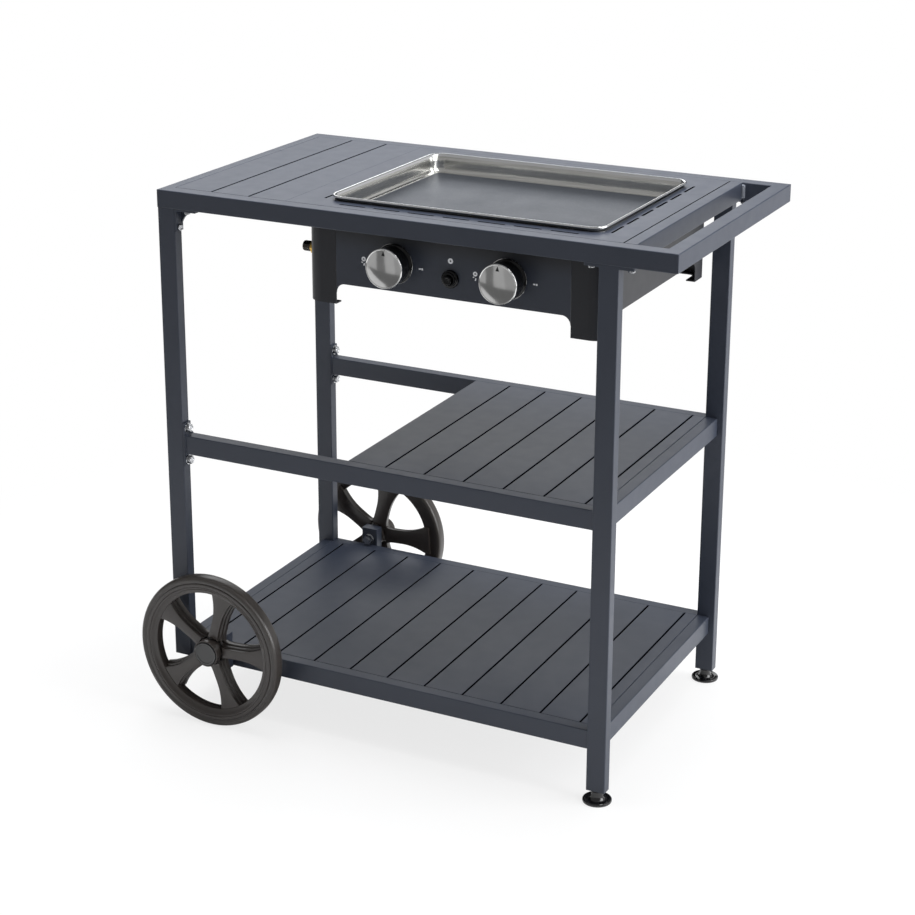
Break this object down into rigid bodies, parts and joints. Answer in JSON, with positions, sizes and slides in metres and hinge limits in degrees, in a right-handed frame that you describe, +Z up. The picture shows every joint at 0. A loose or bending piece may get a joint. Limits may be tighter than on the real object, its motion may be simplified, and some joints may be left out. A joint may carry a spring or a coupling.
{
  "type": "outdoor gas griddle station",
  "caption": "Wheeled aluminium serving cart with a slatted worktop, a lift-out stainless griddle tray over a gas hob, a push handle and two slatted shelves.",
  "frame": {"origin": "middle of the cart's bounding box on the ground", "axes": "+X along the front from the wheels to the push handle, +Y from the control panel to the back, +Z up"},
  "size_m": [0.8996, 0.612, 0.888],
  "materials": {
    "frame_paint": "anthracite powder coat, fine satin",
    "housing_paint": "black satin paint",
    "zinc": "zinc plated",
    "wheel_plastic": "moulded dark grey plastic",
    "tyre_rubber": "solid rubber, satin",
    "black_plastic": "glossy black plastic",
    "stainless": "polished stainless steel",
    "chrome": "mirror chrome",
    "brass": "turned brass",
    "ceramic": "white ceramic"
  },
  "bodies": {
    "frame": {"top_rail_front": "frame_paint", "top_rail_back": "frame_paint", "top_rail_left": "frame_paint", "top_cross_bar": "frame_paint", "handle_bar": "frame_paint", "top_slats": "frame_paint", "hob_surround": "frame_paint", "leg_front_left": "frame_paint", "leg_front_right": "frame_paint", "leg_back_left": "frame_paint", "leg_back_right": "frame_paint", "leg_top_plates": "frame_paint", "corner_brackets": "frame_paint", "leg_top_bolts": "zinc", "leg_plugs": "black_plastic", "mid_rail_front": "frame_paint", "mid_rail_back": "frame_paint", "mid_rail_right": "frame_paint", "mid_end_plates": "frame_paint", "mid_slats": "frame_paint", "shelf_bolts": "zinc", "low_rail_front": "frame_paint", "low_rail_back": "frame_paint", "low_rail_left": "frame_paint", "low_rail_right": "frame_paint", "low_slats": "frame_paint", "axle_brackets": "frame_paint", "axles": "zinc", "axle_nuts": "zinc", "housing_left": "housing_paint", "housing_right": "housing_paint", "housing_back": "housing_paint", "control_panel": "housing_paint", "tray_supports": "zinc", "burners": "stainless", "burner_carriers": "zinc", "manifold": "zinc", "gas_inlet": "brass", "gas_valves": "brass", "knob_bezels": "chrome", "igniter_body": "black_plastic", "electrodes": "ceramic"},
    "wheel_front": {"wheel_front": "wheel_plastic", "tyre_front": "tyre_rubber", "hub_cap_front": "wheel_plastic"},
    "wheel_back": {"wheel_back": "wheel_plastic", "tyre_back": "tyre_rubber", "hub_cap_back": "wheel_plastic"},
    "foot_stud_front": {"foot_stud_front": "zinc"},
    "foot_pad_front": {"foot_pad_front": "black_plastic"},
    "foot_stud_back": {"foot_stud_back": "zinc"},
    "foot_pad_back": {"foot_pad_back": "black_plastic"},
    "spindle_left": {"spindle_left": "zinc"},
    "knob_left": {"knob_left": "black_plastic", "knob_face_left": "chrome"},
    "spindle_right": {"spindle_right": "zinc"},
    "knob_right": {"knob_right": "black_plastic", "knob_face_right": "chrome"},
    "igniter_button": {"igniter_button": "black_plastic"},
    "griddle_tray": {"griddle_tray": "stainless"}
  },
  "joints": [
    {"name": "wheel_front_spin", "type": "hinge", "parent": "frame", "child": "wheel_front", "pos_m": [-0.31945, -0.287, 0.1303], "axis": [0, 1, 0], "continuous": true},
    {"name": "wheel_back_spin", "type": "hinge", "parent": "frame", "child": "wheel_back", "pos_m": [-0.31945, 0.287, 0.1303], "axis": [0, 1, 0], "continuous": true},
    {"name": "foot_front_height", "type": "slide", "parent": "frame", "child": "foot_stud_front", "axis": [0, 0, -1], "range_m": [0, 0.006]},
    {"name": "foot_front_turn", "type": "hinge", "parent": "foot_stud_front", "child": "foot_pad_front", "pos_m": [0.34525, -0.2374, 0.01], "axis": [0, 0, 1], "range_deg": [0, 1728]},
    {"name": "foot_back_height", "type": "slide", "parent": "frame", "child": "foot_stud_back", "axis": [0, 0, -1], "range_m": [0, 0.006]},
    {"name": "foot_back_turn", "type": "hinge", "parent": "foot_stud_back", "child": "foot_pad_back", "pos_m": [0.34525, 0.2374, 0.01], "axis": [0, 0, 1], "range_deg": [0, 1728]},
    {"name": "knob_left_turn", "type": "hinge", "parent": "frame", "child": "spindle_left", "pos_m": [-0.0115, -0.2205, 0.804], "axis": [0, -1, 0], "range_deg": [0, 180]},
    {"name": "knob_left_press", "type": "slide", "parent": "spindle_left", "child": "knob_left", "axis": [0, 1, 0], "range_m": [0, 0.003], "stiffness_N_per_m": 1500, "springref_m": -0.002},
    {"name": "knob_right_turn", "type": "hinge", "parent": "frame", "child": "spindle_right", "pos_m": [0.176, -0.2205, 0.804], "axis": [0, -1, 0], "range_deg": [0, 180]},
    {"name": "knob_right_press", "type": "slide", "parent": "spindle_right", "child": "knob_right", "axis": [0, 1, 0], "range_m": [0, 0.003], "stiffness_N_per_m": 1500, "springref_m": -0.002},
    {"name": "igniter_press", "type": "slide", "parent": "frame", "child": "igniter_button", "axis": [0, 1, 0], "range_m": [0, 0.005], "stiffness_N_per_m": 1200, "springref_m": -0.002},
    {"name": "griddle_tray_lift", "type": "slide", "parent": "frame", "child": "griddle_tray", "axis": [0, 0, 1], "range_m": [0, 0.12]}
  ],
  "couplings": [
    {"joint": "foot_front_turn", "follows": "foot_front_height", "rad_per_m": 5026.5},
    {"joint": "foot_back_turn", "follows": "foot_back_height", "rad_per_m": 5026.5}
  ]
}
